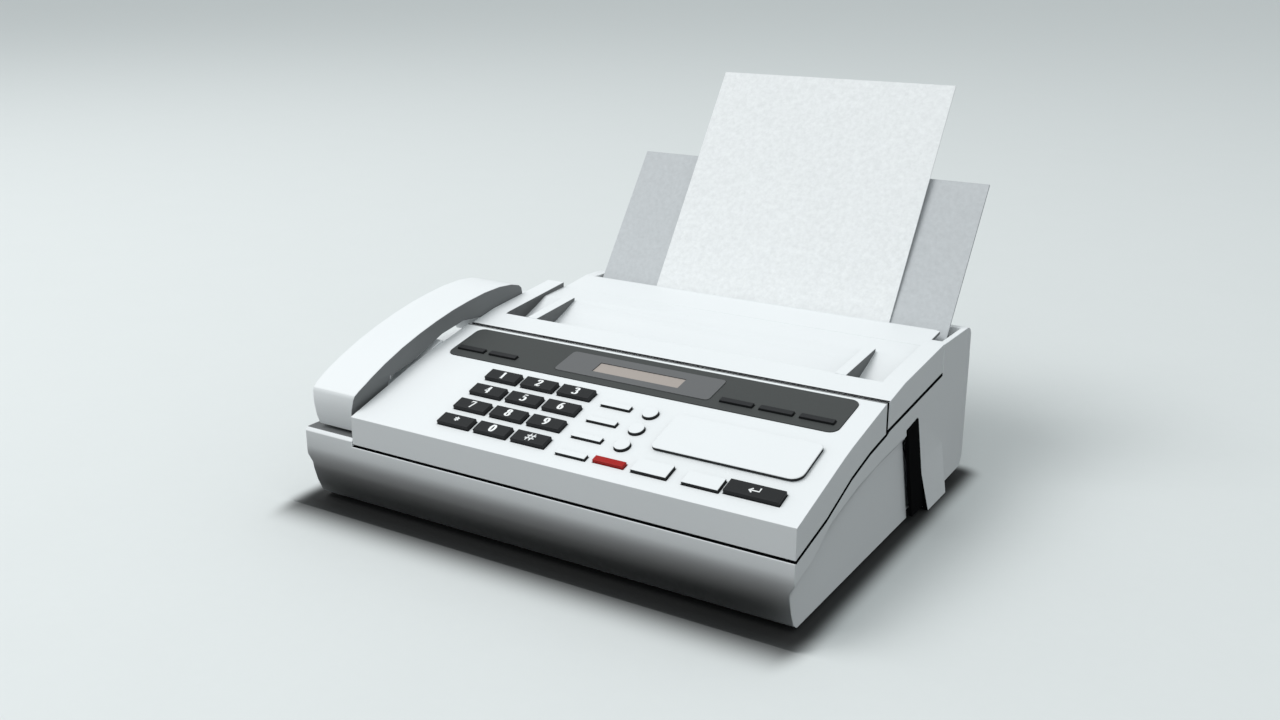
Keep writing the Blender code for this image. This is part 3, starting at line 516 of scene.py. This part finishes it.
# ---------------------------------------------------------------- painted shade in joints and slots, vents and small trim
def prism(name, outline, left, right, material, body):
    """An outline of (y, z) corners in metres extended from left to right."""
    data = bmesh.new()
    near = [data.verts.new((left, y, z)) for y, z in outline]
    far = [data.verts.new((right, y, z)) for y, z in outline]
    data.faces.new(near)
    data.faces.new(far[::-1])
    for i in range(len(outline)):
        j = (i + 1) % len(outline)
        data.faces.new((near[j], near[i], far[i], far[j]))
    bmesh.ops.recalc_face_normals(data, faces=data.faces)
    return add_piece(name, data, material, body)


CASE_ORIGIN = Vector((cad_low.x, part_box("lower_case")[0].y, 0.0))


def case_place(y, z):
    """A place in millimetres behind the case's front face and above the table, in metres."""
    return (CASE_ORIGIN.y + y * MM, z * MM)


# The slanted side slot, in case places.
SLOT = [(178.9, 77.6), (199.7, 80.3), (223.5, 4.0), (200.3, 4.0)]


LID_EDGE, LID_BROW = (141.4, 110.5), (170.2, 115.8)  # the ends of the lid's front slope, in case places
LIP_PROUD = 0.08 * MM


def make_lips():
    """Black lips of painted shade on the two edges of the joint between the panel and the lid."""
    panel_low, panel_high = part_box("panel_shell")
    left, right = panel_low.x + 0.2 * MM, panel_high.x - 0.2 * MM
    rear, top = panel_high.y - 0.6 * MM, panel_high.z
    slope = math.tan(math.acos(PRESS_AXIS["display_key_1_button"].z))
    front = rear - 1.2 * MM
    drop = (rear - front) * slope
    prism("panel_rear_lip", [(front, top - drop - 0.5 * MM), (rear + 0.4 * MM, top - 0.5 * MM),
                             (rear + 0.4 * MM, top + LIP_PROUD - 0.1 * MM), (front, top - drop + LIP_PROUD)],
          left, right, "shade_black", "panel")
    rise = (LID_BROW[1] - LID_EDGE[1]) / (LID_BROW[0] - LID_EDGE[0])
    y, z = case_place(*LID_EDGE)
    start, back = y + 0.1 * MM, y + 1.4 * MM
    outline = [(start, z - 0.6 * MM), (back, z - 0.6 * MM), (back, z + 1.4 * MM * rise + LIP_PROUD),
               (start, z + LIP_PROUD)]
    prism("lid_front_lip", outline, left, right, "shade_black", "lid")


def make_seam_shade():
    """A black strip of painted shade along the right side of the case's rim, under the panel and the lid."""
    lower = [(0.9, 51.8), (44.0, 62.0), (81.5, 75.8), (111.2, 82.8), (139.5, 86.6), (144.7, 88.6),
             (247.9, 98.0)]
    upper = [(247.9, 100.3), (144.7, 90.9), (139.5, 88.7), (111.2, 85.0), (81.5, 78.0), (44.0, 64.2),
             (0.9, 53.9)]
    outline = [case_place(y, z) for y, z in lower + upper]
    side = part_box("panel_shell")[1].x
    prism("rim_seam_shade_right", outline, side - 4.0 * MM, side + 0.12 * MM, "shade_black", "case")


def make_slot_shade():
    """Black panels of painted shade that close the slanted side slots."""
    low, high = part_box("lower_case")
    outline = [case_place(y, z) for y, z in SLOT]
    prism("side_slot_shade_right", outline, high.x - 6.2 * MM, high.x - 3.7 * MM, "shade_black", "case")
    prism("side_slot_shade_left", outline, low.x + 3.7 * MM, low.x + 6.2 * MM, "shade_black", "case")


def round_edges(data, width, edges=None):
    """Round the given edges of a small part, or all of them."""
    bmesh.ops.bevel(data, geom=edges or data.edges[:], offset=width, segments=2, profile=0.5, affect="EDGES",
                    clamp_overlap=True)


def level_edges(data):
    """The edges that lie flat, which are the rims of an upright cylinder."""
    return [edge for edge in data.edges if abs(edge.verts[0].co.z - edge.verts[1].co.z) < 0.001 * MM]


ROUNDED_SHARE = 0.15  # of a box's thinnest side


def box_piece(name, low, high, material, body):
    """A box with rounded edges, narrower ones on a thinner box."""
    data = bmesh.new()
    bmesh.ops.create_cube(data, size=1)
    for corner in data.verts:
        corner.co = [low[axis] + (corner.co[axis] + 0.5) * (high[axis] - low[axis]) for axis in range(3)]
    round_edges(data, ROUNDED_SHARE * min(high[axis] - low[axis] for axis in range(3)))
    return add_piece(name, data, material, body)


def turned_piece(name, place, radii, height, sides, rounding):
    """A short upright steel cylinder or cone on the case, with rounded rims. Sizes in mm."""
    data = bmesh.new()
    bmesh.ops.create_cone(data, cap_ends=True, segments=sides, radius1=radii[0] * MM, radius2=radii[1] * MM,
                          depth=height * MM, matrix=Matrix.Translation(place))
    round_edges(data, rounding * MM, level_edges(data))
    add_piece(name, data, "steel", "case")


# Pins are placed across and up from the power socket's middle, and jacks from the line socket's left side.
# Depths are measured in from the back of the socket.
POWER_PINS = ((-5.0, 1.5), (0.0, -1.5), (5.0, 1.5))
PIN_HALF_WIDTH, PIN_HALF_HEIGHT, PIN_DEPTH, PIN_TIP = 1.0, 2.0, 10.5, 2.0
JACKS, JACK_CONTACTS, CONTACT_PITCH = (7.0, 23.0), 4, 1.4
CONTACT_HALF_WIDTH, CONTACT_DEPTH, CONTACT_TIP, CONTACT_BOTTOM, CONTACT_TOP = 0.3, 9.8, 1.5, 9.6, 10.2


def make_socket_contacts():
    """Three prongs in the power inlet and four sprung wires in each line jack."""
    low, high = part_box("power_socket")
    middle = (low + high) / 2
    for number, (across, up) in enumerate(POWER_PINS, start=1):
        x, z = middle.x + across * MM, middle.z + up * MM
        wide, tall = PIN_HALF_WIDTH * MM, PIN_HALF_HEIGHT * MM
        box_piece(f"power_pin_{number}", (x - wide, high.y - PIN_DEPTH * MM, z - tall),
                  (x + wide, high.y - PIN_TIP * MM, z + tall), "steel", "case")
    low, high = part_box("line_socket")
    for jack, start in enumerate(JACKS, start=1):
        for number in range(JACK_CONTACTS):
            x = low.x + (start + number * CONTACT_PITCH) * MM
            wide = CONTACT_HALF_WIDTH * MM
            start_corner = (x - wide, high.y - CONTACT_DEPTH * MM, low.z + CONTACT_BOTTOM * MM)
            end_corner = (x + wide, high.y - CONTACT_TIP * MM, low.z + CONTACT_TOP * MM)
            box_piece(f"line_contact_{jack}_{number + 1}", start_corner, end_corner, "brass", "case")


VENTS, VENT_PITCH, VENT_HALF_WIDTH, VENT_BOTTOM, VENT_TOP = 18, 6.0, 1.2, 62, 92
VENT_SINK, VENT_PROUD = 0.3, 0.08


def make_rear_vents():
    """A row of upright vent slots in the back wall, drawn as sunk black plates of painted shade."""
    low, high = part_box("rear_cover")
    middle = (low.x + high.x) / 2
    for number in range(VENTS):
        x = middle + (number - (VENTS - 1) / 2) * VENT_PITCH * MM
        wide = VENT_HALF_WIDTH * MM
        box_piece(f"rear_vent_{number + 1}", (x - wide, high.y - VENT_SINK * MM, VENT_BOTTOM * MM),
                  (x + wide, high.y + VENT_PROUD * MM, VENT_TOP * MM), "shade_black", "case")


RIBS, FIRST_RIB, RIB_PITCH, RIB_HALF_WIDTH = 7, 45, 44, 0.7
RIB = ((172.0, 97.0), (190.0, 99.0), (190.0, 103.0), (172.0, 101.3))


def make_lid_ribs():
    """Stiffening ribs under the lid."""
    lid_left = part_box("lid_shell")[0].x
    outline = [case_place(y, z) for y, z in RIB]
    for number in range(RIBS):
        x = lid_left + (FIRST_RIB + RIB_PITCH * number) * MM
        wide = RIB_HALF_WIDTH * MM
        prism(f"lid_rib_{number + 1}", outline, x - wide, x + wide, "grey", "lid")


# Each chip's place from the board's front left corner, then its width and depth.
CHIPS = ((40, 30, 22, 22), (85, 34, 14, 10), (120, 28, 28, 14), (170, 36, 18, 18), (215, 30, 30, 12))
CHIP_HEIGHT = 2.2
CAPACITORS, FIRST_CAPACITOR, CAPACITOR_PITCH, CAPACITOR_ROW = 8, 50, 26, 80
CAPACITOR_RADIUS, CAPACITOR_HEIGHT = 4.0, 9


def make_board_parts():
    """Chips and a row of capacitors on the main board."""
    low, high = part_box("main_board")
    top = high.z + 0.2 * MM
    for number, (x, y, wide, deep) in enumerate(CHIPS, start=1):
        box_piece(f"chip_{number}", (low.x + x * MM, low.y + y * MM, top),
                  (low.x + (x + wide) * MM, low.y + (y + deep) * MM, top + CHIP_HEIGHT * MM), "black", "case")
    for number in range(CAPACITORS):
        x, y = low.x + (FIRST_CAPACITOR + CAPACITOR_PITCH * number) * MM, low.y + CAPACITOR_ROW * MM
        turned_piece(f"capacitor_{number + 1}", (x, y, top + CAPACITOR_HEIGHT / 2 * MM),
                     (CAPACITOR_RADIUS, CAPACITOR_RADIUS), CAPACITOR_HEIGHT, sides=20, rounding=0.6)


# Each screw's place from the case's front left corner, then their height above the table.
SCREWS = ((60, 40), (340, 40), (60, 225), (340, 225))
SCREW_LEVEL, SCREW_RADII, SCREW_HEIGHT = 1.7, (3.0, 3.4), 0.9


def make_base_screws():
    """Low screw heads on the underside."""
    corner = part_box("lower_case")[0]
    for number, (x, y) in enumerate(SCREWS, start=1):
        turned_piece(f"base_screw_{number}", (corner.x + x * MM, corner.y + y * MM, SCREW_LEVEL * MM),
                     SCREW_RADII, SCREW_HEIGHT, sides=24, rounding=0.2)


make_camera()
make_materials()
make_studio()
dress_cad()
print_keys()
make_lips()
make_seam_shade()
make_slot_shade()
make_socket_contacts()
make_rear_vents()
make_lid_ribs()
make_board_parts()
make_base_screws()
